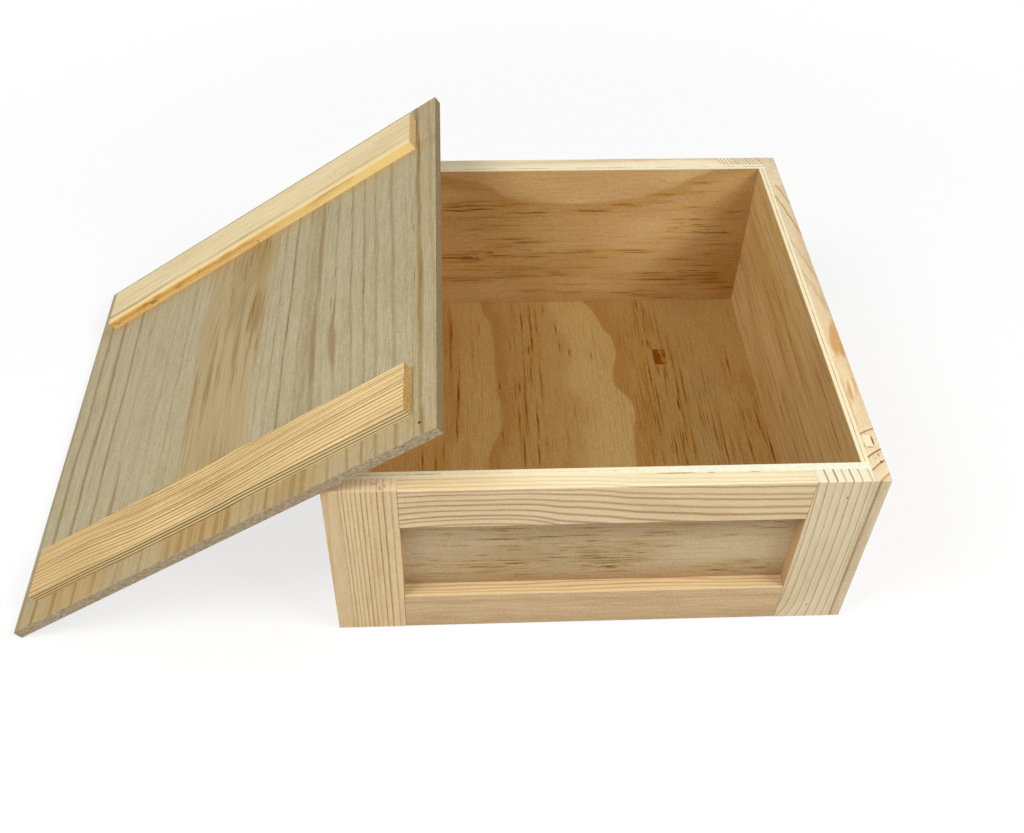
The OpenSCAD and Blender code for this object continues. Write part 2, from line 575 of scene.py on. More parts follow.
def ease_edges(board, soft_edges, soft, crisp=CRISP_EDGE):
    """Sands the edges: the named ones round, the others only just broken."""
    mesh = board.data
    corners = [v.co for v in mesh.vertices]
    middle = sum(corners, Vector()) / len(corners)
    weights = mesh.attributes.new("bevel_weight_edge", "FLOAT", "EDGE")
    wanted = [[SIDES[side] for side in pair.split()] for pair in soft_edges]
    for edge in mesh.edges:
        centre = (mesh.vertices[edge.vertices[0]].co + mesh.vertices[edge.vertices[1]].co) / 2
        out = centre - middle
        is_soft = any(all(out[axis] * way > 0.4 * MM for axis, way in pair) for pair in wanted)
        weights.data[edge.index].value = 1.0 if is_soft else crisp / soft
    bevel = board.modifiers.new("eased edges", "BEVEL")
    bevel.limit_method = "WEIGHT"
    bevel.width = soft
    bevel.segments = 3
    bevel.harden_normals = True
    bpy.context.view_layer.objects.active = board
    board.select_set(True)
    bpy.ops.object.shade_smooth()
    bpy.ops.object.modifier_apply(modifier=bevel.name)


def hang(piece, body, material, node=None):
    """Gives a piece its material and its body, and hides the node that it stands for."""
    piece.data.materials.clear()
    piece.data.materials.append(material)
    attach(piece, body)
    if node:
        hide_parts(node)


def box_board(node, soft_edges, material):
    """A board of the box, where its node is."""
    low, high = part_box(node)
    board = cut_board(node + "_board", low, high)
    ease_edges(board, soft_edges, FRAME_EDGE)
    hang(board, "box", material, node)
    return board


def lean_on_rim(piece):
    """Takes a piece of the lid from lying flat to where it leans, and keeps the place in its mesh."""
    bpy.ops.object.select_all(action="DESELECT")
    piece.select_set(True)
    bpy.context.view_layer.objects.active = piece
    piece.rotation_euler = (0, -LEAN, 0)
    piece.location = (FOOT_X, 0, FOOT_Z)
    bpy.ops.object.transform_apply(location=True, rotation=True, scale=True)


def lid_piece(node, low, high, soft_edges, soft, material):
    """A board of the lid, made flat and then leant on the rim."""
    board = cut_board(node + "_piece", low, high)
    ease_edges(board, soft_edges, soft)
    lean_on_rim(board)
    hang(board, "lid", material, node)
    return board


# Frames. Places in the figure are in millimetres from here on

X, Y, Z = 0, 1, 2
RIM_Z = 127.0
LINING_OUT = 143.5
LINING_IN = 138.9


def on_rim(z):
    """One on the box's planed upper edge, and nothing below it."""
    return fade(z, RIM_Z - 0.7, RIM_Z - 0.1)


TOP_RAIL_LINES = (
    (-13.8, 0.9, 0.6), (-9.6, 0.7, 0.9), (-6.2, 0.7, 0.8), (-2.6, 0.8, 0.9), (1.5, 1.1, 0.75),
    (4.4, 1.1, 0.9), (8.8, 1.2, 0.85), (12.8, 1.3, 1.0), (17.5, 1.3, 0.9), (22.1, 1.3, 1.0),
    (25.2, 1.2, 0.8), (29.5, 1.3, 0.9),
)


def top_rail_lines(place):
    """Ring lines of the front top rail: they rise over a hump left of the middle, then fall and spread."""
    x, y, z = split(place)
    squeeze = drawn_line(x, [(-112, 0.9), (-61, 1.0), (-16, 0.77), (19, 0.73), (59, 0.67), (112, 0.66)])
    drop = drawn_line(x, [(-112, 0.2), (-61, 0.0), (-16, 0.3), (19, 3.0), (59, 4.0), (112, 4.6)])
    below = times(less(RIM_Z, z), squeeze)
    behind = scaled(y, 1.25, 190.6)
    depth = less(less(below, drop), behind)
    ripple = noise(stretch(place, 0.05, 0.1, 0.1), 2.0)
    depth = swayed(depth, ripple, 0.6)
    return hand_lines(depth, TOP_RAIL_LINES)


def right_stile_faces(place, colour):
    """The front right stile's inner edge, browner and darkened with painted shade, and its pale upper end
    with dark ring marks.
    """
    x, y, z = split(place)
    # Painted shade, in part: the inner edge beside the recessed panel is tinted browner and darker, as it
    # lies in shade.
    colour = tint(fade(x, 112.05, 112.5, 0.85, 0.0), colour, seen(189, 151, 102))
    on_top = on_rim(z)
    colour = tint(times(on_top, 0.75), colour, seen(237, 227, 198))
    slant = scaled(y, 0.105, plus(x, 15.5))
    marks = hand_lines(slant, (
        (117.4, 0.75, 0.8), (122.4, 0.8, 0.9), (126.9, 0.7, 0.5), (131.1, 0.75, 0.8), (135.9, 0.7, 0.55),
        (141.2, 0.7, 0.5),
    ))
    return tint(times(marks, on_top), colour, seen(104, 86, 58))


def rail_rim(place, colour):
    """The front top rail's upper edge, paler to the right, with dark dashes along the joint behind it."""
    x, y, z = split(place)
    on_top = on_rim(z)
    cream = tint(fade(x, -85.0, -10.0), seen(226, 198, 148), seen(238, 232, 194))
    colour = tint(times(on_top, 0.45), colour, cream)
    joint = gathered(x, y, (
        (37, -143.9, 13, 0.55, 0.7), (56, -143.9, 2.5, 0.55, 0.6), (80, -143.9, 3.5, 0.55, 0.5),
    ))
    return tint(times(joint, on_top), colour, seen(120, 92, 60))


def right_rail_figure(place, colour):
    """The right top rail's upper edge: slanting brown lines at the back, orange patches further front."""
    x, y, z = split(place)
    waver = noise(stretch(place, 0.1, 0.06, 0.1), 2.0)
    slant = scaled(x, 4.6, -4.6 * LINING_OUT)
    slant = swayed(plus(slant, y), waver, 8.0)
    lines = hand_lines(slant, ((134.7, 4.5, 0.75), (103, 5, 0.8), (56, 6, 0.4), (24, 8, 0.3)))
    ragged = fade(noise(stretch(place, 0.5, 0.03, 0.5), 2.0), 0.3, 0.5)
    leant = scaled(y, -0.16, x)
    patches = gathered(y, leant, (
        (-40, 155.4, 20, 4.2, 0.85), (-49, 158.6, 10, 2.6, 0.95), (-83, 161.6, 12, 3.4, 0.85),
    ))
    on_top = fade(z, 122.0, 126.4)
    patches = times(times(patches, ragged), on_top)
    colour = tint(patches, colour, seen(202, 148, 88))
    return tint(times(lines, on_top), colour, seen(176, 126, 74))


def left_stile_end(place, colour):
    """The front left stile's upper end: pale, with three small dark ticks and painted shade along its front
    arris, which hides the highlight that the rounded arris catches.
    """
    x, y, z = split(place)
    on_top = on_rim(z)
    colour = tint(times(on_top, 0.35), colour, seen(232, 212, 180))
    ticks = gathered(x, y, (
        (-124.5, -147.2, 2.6, 0.6, 0.45), (-121.1, -150.2, 0.7, 2.2, 0.55),
        (-118.6, -149.0, 0.8, 1.6, 0.35),
    ))
    colour = tint(times(ticks, on_top), colour, seen(112, 80, 46))
    # Painted shade: a darker band on the front arris, in place of the highlight that its rounding catches.
    arris = fade(less(z, y), 278.6, 278.95, 0.0, 0.4)
    return tint(arris, colour, seen(196, 160, 112))


def back_rail_rim(place, colour):
    """The back top rail's upper edge, paler towards the left, behind the lid."""
    x, y, z = split(place)
    pale = times(on_rim(z), fade(x, -50.0, 60.0, 0.65, 0.0))
    return tint(pale, colour, seen(232, 222, 188))


def right_stile_grain(place):
    """Grain of the front right stile: a slow bow, with its left lines turning out at the foot."""
    x, y, z = split(place)
    bow = drawn_line(z, [(0, 0.5), (40, 0.8), (73, 1.1), (102, 0.7), (127, 0.0)])
    turn = drawn_line(z, [(0, -4.6), (8, -2.2), (16, -0.7), (30, 0.0), (127, 0.0)])
    bow = scaled(turn, fade(x, 114.0, 136.0, 1.0, 0.15), bow)
    return join(less(x, bow), y, z)


def torn_end(place, colour):
    """The right front stile's upper end: a pale mend, with torn fibres round it."""
    x, y, z = split(place)
    on_top = fade(z, 126.3, 126.8)
    wood = gathered(x, y, ((148, -123.5, 7, 5.2, 0.9),))
    mend = times(sums("COMPARE", x, 146.6, 2.0), sums("COMPARE", y, -123.4, 4.2))
    torn = gathered(x, y, (
        (149.2, -123.4, 0.7, 4.6, 0.9), (146.7, -128.1, 2.2, 0.6, 0.6), (150.0, -138.9, 1.0, 1.0, 1.0),
        (149.6, -134.0, 0.9, 1.6, 0.5), (147.5, -136.5, 1.0, 1.0, 0.3),
    ))
    colour = tint(times(wood, on_top), colour, seen(236, 210, 168))
    colour = tint(times(times(mend, 0.8), on_top), colour, END_CREAM)
    return tint(times(torn, on_top), colour, seen(104, 78, 46))


def yellow_ledge_and_shaded_foot(place, colour):
    """The bottom rail's yellower upper edge, with lines of its own, and painted shade darkening its foot
    next to the table.
    """
    x, y, z = split(place)
    waver = noise(stretch(place, 0.012, 0.1, 0.1), 2.0)
    across = swayed(y, waver, 3.0)
    lines = hand_lines(across, ((-150.4, 0.8, 0.55), (-148.0, 0.8, 0.75), (-145.2, 0.9, 0.7)))
    ledge = tint(lines, seen(219, 194, 148), seen(158, 114, 58))
    # Painted shade: the rail darkens towards its foot, where it meets the table.
    colour = tint(fade(z, 0.0, 17.0, 0.3, 0.0), colour, seen(172, 138, 96))
    return tint(fade(z, 30.4, 31.0, 0.0, 0.75), colour, ledge)


def left_corner_grain(place):
    """Grain of the left front stile, leaning out a little towards the foot."""
    x, y, z = split(place)
    return join(scaled(z, -0.035, x), y, z)


FRAME_PINE = {
    "front_left_stile": dict(
        heart=(30, -148), ring=4.2, pale=seen(240, 212, 165), near=142.6, crowd=0.0159, uneven=0.25,
        wander=0.5, share=0.42, strength=0.82, faint=0.4, seed=1.0, dress=left_stile_end),
    "front_right_stile": dict(
        heart=(-49, -165.5), ring=4.67, pale=seen(240, 222, 184), near=158.3, uneven=0.1, wander=0.3,
        share=0.26, strength=0.62, seed=2.0, bend=right_stile_grain, dress=right_stile_faces),
    "front_top_rail": dict(
        heart=(-34, 14), ring=2.43, pale=seen(241, 216, 172), strength=0.75, seed=3.0, ramp_share=0.0,
        lines=top_rail_lines, dress=rail_rim),
    "front_bottom_rail": dict(
        heart=(-98, 12), ring=2.8, pale=ROSE_PINE, near=40, uneven=0.4, wander=0.5, share=0.6,
        strength=0.22, seed=4.0, ramp_share=0.06, fibre=0.7, dress=yellow_ledge_and_shaded_foot),
    "back_left_stile": dict(heart=(40, 170), ring=3.2, pale=PALE_PINE, near=60, strength=0.7, seed=13.0),
    "back_right_stile": dict(
        heart=(270, 195), ring=2.1, pale=CREAM_PINE, late=DARK_LINE, near=60, uneven=0.2, wander=0.3,
        share=0.5, strength=0.95, seed=14.0),
    "back_top_rail": dict(
        heart=(120, 20), ring=4.0, pale=CREAM_PINE, near=20, wander=1.4, strength=0.45, seed=15.0,
        dress=back_rail_rim),
    "back_bottom_rail": dict(
        heart=(90, -20), ring=3.4, pale=PALE_PINE, near=20, wander=1.2, strength=0.5, seed=16.0),
    "left_front_stile": dict(
        heart=(-215, -190), ring=9.0, pale=seen(231, 203, 159), late=ORANGE_PINE, near=73, uneven=0.05,
        wander=0.4, share=0.3, strength=0.4, seed=9.0, bend=left_corner_grain),
    "left_back_stile": dict(heart=(-40, 180), ring=3.4, pale=PALE_PINE, near=60, strength=0.7, seed=10.0),
    "left_top_rail": dict(
        heart=(-60, 30), ring=2.9, pale=CREAM_PINE, near=20, wander=1.0, strength=0.7, seed=11.0),
    "left_bottom_rail": dict(
        heart=(-100, -20), ring=3.6, pale=ROSE_PINE, near=20, wander=1.4, strength=0.5, seed=12.0),
    "right_front_stile": dict(
        heart=(181, -184), ring=7.2, pale=seen(234, 213, 173), late=DARK_LINE, near=47.6, uneven=0.05,
        wander=0.4, share=0.26, strength=0.95, seed=5.0, dress=torn_end),
    "right_back_stile": dict(
        heart=(230, 260), ring=3.0, pale=seen(229, 214, 180), near=60, uneven=0.4, wander=0.6, share=0.5,
        strength=0.2, seed=6.0),
    "right_top_rail": dict(
        heart=(120, 80), ring=5.5, pale=seen(225, 204, 166), near=20, uneven=0.4, wander=4.0, share=0.5,
        strength=0.25, seed=7.0, warm=YELLOW_PINE, warm_share=0.5, dress=right_rail_figure),
    "right_bottom_rail": dict(
        heart=(100, -10), ring=3.2, pale=PALE_PINE, near=20, wander=1.2, strength=0.6, seed=8.0),
}
ACROSS_FROM = {"left": "right", "right": "left"}


def show_edges(face, side, kind):
    """The edges of a frame piece that are sanded round."""
    if kind == "rail":
        return [face + " top", face + " under"]
    if side in ACROSS_FROM:
        return [face + " " + ACROSS_FROM[side], face + " top"]
    return [face + " front", face + " back", face + " top", side + " top"]


for node, looks in FRAME_PINE.items():
    face, side, kind = node.split("_")
    level = "x" if face in ("front", "back") else "y"
    material = pine(node.replace("_", " ") + " pine", "z" if kind == "stile" else level, **looks)
    box_board(node, show_edges(face, side, kind), material)


# Plywood walls and floor

def plies_on_rim(axis, outer, inner, least=0.1, run=None, whiter_share=0.0):
    """The pale plies on a lining's upper edge, whiter towards one end, and the glue line between them."""
    def show(place, colour):
        parts = split(place)
        depth = scaled(parts[axis], 1 / (inner - outer), -outer / (inner - outer))
        broken = noise(stretch(place, 0.05, 0.05, 0.05), 3.0, 0.6)
        line = sums("COMPARE", depth, 0.5, 0.05)
        line = times(line, fade(broken, 0.42, 0.58, least, 0.8))
        if run:
            line = times(line, drawn_line(parts[1 - axis], run))
        grain = noise(stretch(place, 0.4, 0.4, 0.4), 4.0, 0.65)
        cream = tint(fade(parts[1 - axis], -60.0, 90.0, 0.0, whiter_share), END_CREAM, seen(235, 238, 216))
        edge = tint(fade(grain, 0.35, 0.7, 0.0, 0.3), cream, seen(226, 198, 150))
        edge = tint(line, edge, seen(120, 92, 60))
        return tint(fade(parts[Z], RIM_Z - 0.8, RIM_Z - 0.4), colour, edge)
    return show


def floor_bands(place):
    """The floor's broad figure: two sharp-edged dark bands with a pale stretch between them, and a painted
    shadow along the lid's edge near x -84.
    """
    x, y, z = split(place)
    sway = drawn_line(y, [
        (-139, 1.0), (-34, 4.0), (0, 6.0), (20, 9.0), (28, 7.5), (40, 1.0), (52, -3.0), (64, -1.5),
        (80, 2.0), (94, 1.0), (107, -4.5), (124, -9.5), (139, -18.0),
    ])
    left_sway = drawn_line(y, [
        (-139, -8.0), (-33, -8.0), (-10, -3.0), (0, 1.0), (10, 3.5), (25, 3.5), (40, 1.0), (60, 0.5),
        (90, 0.5), (110, -0.5), (120, -3.0), (130, -7.0), (139, -8.0),
    ])
    on_right = fade(x, -25.0, 5.0)
    sway = scaled(on_right, less(sway, left_sway), left_sway)
    across = less(x, sway)
    # The rise to 0.8 near x -84 is painted shadow under the lid's edge.
    return drawn_line(across, [
        (-139, 0.7), (-90, 0.7), (-84, 0.8), (-76, 0.45), (-52, 0.35), (-49, 1.0), (-41, 0.8), (-24, 0.5),
        (-2, 0.48), (8, 0.1), (20, 0.0), (38, 0.08), (40, 1.0), (50, 0.85), (63, 0.6), (80, 0.45),
        (100, 0.28), (115, 0.4), (139, 0.55),
    ])


def back_wall_bands(place):
    """The back wall's broad figure, a bowl at the top and a low sill across the foot, with painted shade
    towards both ends and in the lower right corner, and patches of painted light.
    """
    x, y, z = split(place)
    bowl = drawn_line(x, [
        (-139, 131), (-75, 119), (-53, 113), (-38, 102), (7, 97), (41, 99), (71, 107), (97, 120),
        (139, 138),
    ])
    sill = drawn_line(x, [(-139, 22), (-88, 26), (-30, 31), (10, 29), (55, 26), (128, 22)])
    upper = drawn_line(less(z, bowl), [
        (-45, 0.25), (-14, 0.32), (-4, 0.8), (-1, 0.85), (2, 0.2), (10, 0.0), (40, 0.0),
    ])
    lower = drawn_line(less(z, sill), [
        (-24, 0.2), (-3, 0.15), (1, 0.5), (8, 0.35), (26, 0.0),
    ])
    # Painted shade: darker towards both ends, where the lid and the right wall shade the back wall, with a
    # little painted light near x 60.
    ends = drawn_line(x, [
        (-139, 0.5), (-70, 0.4), (0, 0.1), (60, -0.15), (95, 0.1), (125, 0.65), (139, 0.95),
    ])
    ends = times(ends, fade(z, 60.0, 120.0, 1.0, 0.55))
    # Painted shade in the lower right corner.
    corner = gathered(x, z, ((112, 22, 62, 40, 0.4),))
    # Painted light: lighter patches where the lamps light the wall.
    light = gathered(x, z, ((66, 76, 50, 28, 0.25), (0, 115, 70, 14, 0.2), (-72, 24, 46, 30, 0.2)))
    ends = less(plus(ends, corner), light)
    return highest(plus(highest(upper, lower), ends), 0.0)


def gathering(along, across, spots):
    """Where fine streaks gather on a board, by its axes along and across the grain."""
    def show(place):
        parts = split(place)
        return gathered(parts[along], parts[across], spots)
    return show


def placed(along, across, streaks, half_width=0.8, darkest=0.9):
    """A board's darkest streaks, by its axes along and across the grain."""
    def show(place):
        parts = split(place)
        return drawn_streaks(parts[along], parts[across], streaks, half_width, darkest)
    return show


# The floor's streaks gather beside the bands, round the patch and towards the front right
FLOOR_GATHERING = (
    (105, -30, 55, 16, 0.5), (30, -31, 75, 14, 0.5), (40, -84, 80, 6, 0.5), (112, 60, 36, 16, 0.5),
    (60, 66, 52, 16, 0.55), (5, 60, 60, 14, 0.5), (-20, 92, 55, 34, 0.55), (-15, 124, 60, 18, 0.6),
    (90, -2, 40, 6, 0.4), (60, 90, 60, 26, 0.4),
)
FLOOR_STREAKS = (
    (118, -83, 14, 0.5), (107, -81.5, 10, 0.8), (85, -82.5, 18, 0.7), (62, -76.5, 14, 0.5),
    (37, -77.5, 12, 0.95), (22, -78.5, 8, 0.6), (5, -79, 9, 0.8), (80, -66, 12, 0.35), (110, -61, 4, 0.5),
    (-24, -103, 9, 0.7), (-28, -94, 7, 0.7), (-17, -88.5, 6, 0.6), (46, -47.5, 3, 0.9), (132, -35, 6, 0.5),
    (114, -28, 11, 0.7), (115, -21, 17, 0.7), (92, -21.2, 9, 0.85), (84, -24, 4, 0.9), (122, -17, 8, 0.5),
    (108, -17, 4, 0.6), (129, -10.5, 3, 0.5), (107, -2, 4, 0.7), (88, -0.5, 4, 0.5), (81, 6, 2.5, 0.6),
    (72, -22.5, 5, 0.6), (60, -24, 9, 0.7), (58, -28.5, 14, 0.6), (52, -17, 18, 0.6), (30, -29.7, 16, 0.8),
    (44, -33, 4, 0.8), (10, -22, 12, 0.85), (8, -35, 15, 0.5), (4, -30.5, 8, 0.5), (-3, -47, 5, 0.5),
    (-18, -33, 13, 0.75), (-21, -23, 8, 0.85), (-10, -17, 6, 0.5), (-5, -2, 8, 0.4), (135, 63, 5, 0.8),
    (118, 60.5, 16, 0.5), (124, 67, 9, 0.6), (108, 66, 6, 0.5), (113, 72, 9, 0.5), (107, 76, 13, 0.5),
    (90, 62.5, 3, 0.7), (90, 66, 3, 0.8), (85, 81.5, 12, 0.5), (68, 82, 10, 0.6), (61, 70, 4, 0.6),
    (58, 75, 6, 0.7), (52, 58.5, 10, 0.5), (55, 63.5, 13, 0.8), (36, 60, 12, 0.5), (36, 54.5, 11, 0.4),
    (26, 66, 15, 0.75), (42, 82, 10, 0.8), (44, 86.3, 15, 0.75), (25, 80, 5, 0.9), (12, 82, 12, 0.5),
    (7, 63, 9, 0.7), (64, 123, 9, 0.75), (60, 119, 7, 0.4), (14, 94, 9, 0.5), (-4, 102, 12, 0.6),
    (4, 107, 10, 0.5), (-18, 106.5, 15, 0.8), (-18, 111, 14, 0.5), (-10, 77, 12, 0.6), (-18, 72, 12, 0.7),
    (-8, 80.5, 7, 0.6), (-6, 85, 9, 0.5), (-18, 84.5, 6, 0.7), (-24, 55, 8, 0.5), (-14, 116.5, 9, 0.5),
    (-20, 124, 10, 0.8), (10, 129.5, 6, 0.5), (9, 134, 11, 0.85), (-8, 135.5, 8, 0.7), (24, 136, 6, 0.5),
    (-20, 138, 12, 0.9), (77, 22, 3, 0.6),
)


PANEL_GATHERING = (
    (-60, 49, 34, 10, 0.6), (8, 50, 34, 16, 0.6), (-62, 84, 34, 8, 0.6), (-8, 68, 30, 12, 0.55),
    (38, 77, 24, 8, 0.55), (84, 41, 30, 10, 0.55), (-96, 50, 22, 12, 0.55), (96, 82, 22, 8, 0.5),
    (-50, 64, 80, 40, 0.4), (30, 90, 60, 8, 0.5),
)


def panel_bands(place):
    """The broad brown smudges of the front wall's panel, and its browner foot."""
    x, y, z = split(place)
    smudges = gathered(x, z, (
        (-58, 50, 60, 24, 0.55), (6, 50, 45, 24, 0.45), (-34, 70, 90, 14, 0.35), (85, 40, 44, 12, 0.3),
        (-104, 60, 14, 30, 0.2),
    ))
    foot = fade(z, 29.0, 56.0, 1.3, 0.0)
    return highest(smudges, foot)


PANEL_STREAKS = (
    (-58, 72, 9, 0.9), (-42, 71.5, 8, 0.5), (-30, 73.2, 9, 0.75), (-12, 74, 6, 0.75), (-85, 77.5, 3, 0.5),
    (-50, 65, 5, 0.6), (-48, 62, 4, 0.5), (-4, 68.5, 3, 0.8), (15, 67, 8, 0.4), (24, 64.5, 4, 0.6),
    (3, 77, 4, 0.5), (36, 75, 6, 0.7), (27, 72.5, 4, 0.5), (43, 72.6, 4, 0.5), (76, 71, 4, 0.7),
    (63, 69.5, 4, 0.4), (96, 70.5, 6, 0.4), (102, 77.2, 6, 0.6), (-9, 62.7, 3, 0.5), (40, 61.8, 5, 0.5),
    (-4, 59.2, 8, 0.6), (-2, 57.6, 8, 0.6), (16, 58, 5, 0.5), (-24, 57, 4, 0.4), (0, 52, 9, 0.85),
    (-48, 48.7, 6, 1.0), (-64, 48.5, 8, 0.6), (-70, 46, 8, 0.75), (-60, 45.5, 6, 0.6), (-44, 43.5, 5, 0.6),
    (-70, 52, 8, 0.4), (-44, 52, 10, 0.4), (-105, 48.8, 8, 0.5), (4, 48.3, 8, 0.5), (14, 47.8, 6, 0.6),
    (24, 48.3, 4, 0.5), (8, 44, 4, 0.9), (10, 42.5, 3, 0.8), (-6, 44.5, 4, 0.5), (14, 38.5, 6, 0.6),
    (60, 41.5, 5, 0.5), (72, 37.5, 4, 0.8), (72, 43.5, 4, 0.5), (84, 45, 6, 0.4), (98, 38.5, 3, 0.7),
    (90, 46.5, 6, 0.5), (-64, 40.5, 6, 0.5), (-44, 37.5, 5, 0.6), (-84, 40, 6, 0.4), (-92, 82, 8, 0.5),
    (-62, 81.5, 12, 0.5), (-6, 80.5, 8, 0.6), (50, 81.5, 14, 0.4),
)


BACK_GATHERING = (
    (-70, 97, 30, 8, 0.55), (-78, 51, 36, 12, 0.55), (-34, 64, 30, 8, 0.5), (10, 53, 34, 6, 0.5),
    (50, 53, 28, 6, 0.5), (96, 28, 46, 12, 0.55), (104, 74, 30, 20, 0.5), (48, 12, 40, 8, 0.5),
    (-60, 29, 50, 8, 0.5), (60, 100, 40, 8, 0.45), (-50, 50, 90, 40, 0.35),
)
BACK_STREAKS = (
    (-69, 97, 9, 1.0), (-79, 96, 6, 0.6), (-72, 99.5, 6, 0.6), (-62, 101, 8, 0.4), (-80, 93.2, 8, 0.8),
    (-60, 94, 9, 1.0), (-47, 96.5, 5, 0.6), (-34, 98, 6, 0.4), (-28, 90.1, 10, 0.7), (-19, 90.4, 6, 1.0),
    (-52, 86.7, 12, 0.4), (18, 91.4, 8, 0.7), (27, 91.2, 7, 0.95), (-42, 79, 9, 0.5), (-43, 75, 8, 0.35),
    (-36, 66.3, 9, 0.7), (-25, 67, 4, 0.4), (-43, 61.5, 6, 0.4), (-45, 59, 4, 0.5), (-22, 63.4, 11, 0.7),
    (-58, 55, 9, 0.6), (-52, 53.7, 3, 0.8), (-80, 52.5, 8, 0.7), (-68, 52.5, 6, 0.5), (-82, 49.4, 7, 0.95),
    (-70, 49.6, 7, 1.0), (-70, 48.2, 5, 0.8), (-62, 47.8, 5, 0.7), (-72, 45, 8, 0.4), (-45, 51, 8, 0.85),
    (-30, 50, 8, 0.5), (-17, 49.6, 6, 0.75), (-60, 41, 9, 0.5), (-66, 37.7, 26, 0.4), (-48, 30, 22, 0.5),
    (-28, 30.5, 10, 0.5), (-67, 27.3, 10, 0.6), (2, 32, 6, 0.7), (-2, 34, 4, 0.5), (-4, 53, 4, 0.6),
    (8, 52.6, 10, 0.6), (22, 54, 8, 0.6), (20, 38.5, 8, 0.4), (-18, 16.5, 8, 0.5), (12, 13.8, 8, 0.6),
    (14, 22, 14, 0.4), (44, 96.5, 8, 0.7), (52, 95, 4, 0.5), (76, 105, 9, 0.6), (100, 115, 6, 0.5),
    (98, 107, 5, 0.4), (86, 83, 4, 0.5), (99, 83, 4, 0.7), (86, 75, 3, 0.5), (102, 78, 4, 0.7),
    (106, 76, 4, 0.4), (82, 71.5, 4, 0.4), (83, 65, 6, 0.4), (123, 70.2, 4, 0.8), (126, 68.5, 4, 0.5),
    (122, 59, 8, 0.6), (127, 89, 5, 0.6), (98, 93.5, 6, 0.4), (52, 54.6, 12, 0.7), (60, 52.3, 9, 0.7),
    (88, 45.3, 7, 0.6), (112, 39, 8, 0.6), (113, 50, 3, 0.5), (72, 32.2, 10, 0.7), (108, 29.5, 12, 0.75),
    (75, 26, 14, 0.7), (100, 25.3, 22, 0.5), (120, 26, 6, 0.6), (118, 22.3, 8, 0.9), (128, 22.5, 4, 0.8),
    (100, 20.5, 14, 0.5), (135, 17, 4, 0.95), (127, 15.7, 8, 0.5), (52, 12.8, 7, 0.9), (64, 11.2, 6, 0.6),
    (86, 7.5, 8, 0.7), (78, 10.3, 8, 0.4), (32, 48, 6, 0.4),
)


def right_wall_bands(place):
    """The right wall's broad figure: a dark arch that falls towards the front, paler under it."""
    x, y, z = split(place)
    arch = drawn_line(y, [
        (-139, -4), (-60, 4), (-30, 10), (0, 14), (20, 18), (40, 24), (60, 28), (75, 33), (90, 38),
        (105, 45), (120, 48), (139, 47),
    ])
    return drawn_line(less(z, arch), [
        (-50, 0.05), (-16, 0.1), (-6, 0.6), (0, 1.0), (7, 0.75), (20, 0.35), (40, 0.15), (90, 0.1),
        (130, 0.3),
    ])


RIGHT_STREAKS = (
    (95, 118, 15, 0.4), (92, 115.5, 12, 0.3), (45, 124, 15, 0.3), (68, 124, 8, 0.25), (25, 103, 15, 0.4),
    (12, 101, 12, 0.3), (0, 111, 8, 0.3), (45, 95.5, 14, 0.4), (10, 90, 24, 0.3), (-20, 87.5, 24, 0.8),
    (-38, 85, 14, 0.75), (-25, 92, 18, 0.6), (-48, 91, 9, 0.45), (60, 76, 15, 0.45), (45, 75, 8, 0.35),
    (35, 76.5, 9, 0.25), (15, 70, 15, 0.35), (-5, 68, 12, 0.4), (-40, 77, 9, 0.45), (-52, 78, 6, 0.5),
    (-60, 65, 24, 0.8), (-65, 110, 12, 0.8), (-30, 117, 15, 0.45), (-65, 122, 9, 0.45), (-100, 107, 12, 1),
    (-100, 102, 15, 0.5), (-110, 118, 9, 0.5), (-95, 95, 12, 0.5), (-15, 48, 9, 0.6), (-15, 39.5, 10, 0.75),
    (-55, 44, 15, 0.75), (-60, 49, 12, 0.5), (108, 68, 12, 0.3), (100, 89, 9, 0.25), (120, 99, 15, 0.25),
    (-30, 104, 21, 0.3), (-90, 80, 12, 0.45), (-78, 57, 18, 0.5), (-45, 30, 15, 0.5), (-35, 22, 12, 0.45),
)


def right_wall_shade(place, colour):
    """Painted shade darkening the right wall's front half."""
    x, y, z = split(place)
    return tint(fade(y, -60.0, 30.0, 0.34, 0.0), colour, seen(184, 150, 98))


def floor_patch(place, colour):
    """A small dark let-in piece of veneer, and three blotches of yellower resin."""
    x, y, z = split(place)
    resin = gathered(x, y, ((-73, -20, 5, 16, 0.35), (134, 46, 7, 16, 0.35), (-24, 84, 4, 7, 0.4)))
    colour = tint(resin, colour, seen(166, 118, 30))
    wide = sums("COMPARE", x, 73.3, 4.6)
    deep = sums("COMPARE", y, 74.5, 8.0)
    mottle = noise(stretch(place, 0.3, 0.15, 0.3), 3.0, 0.6)
    mottle = plus(mottle, fade(x, 70.0, 77.0, -0.12, 0.1))
    dark = tint(fade(mottle, 0.45, 0.62), seen(128, 70, 0), seen(178, 120, 42))
    mask = times(times(wide, deep), 0.97)
    return tint(mask, colour, dark)


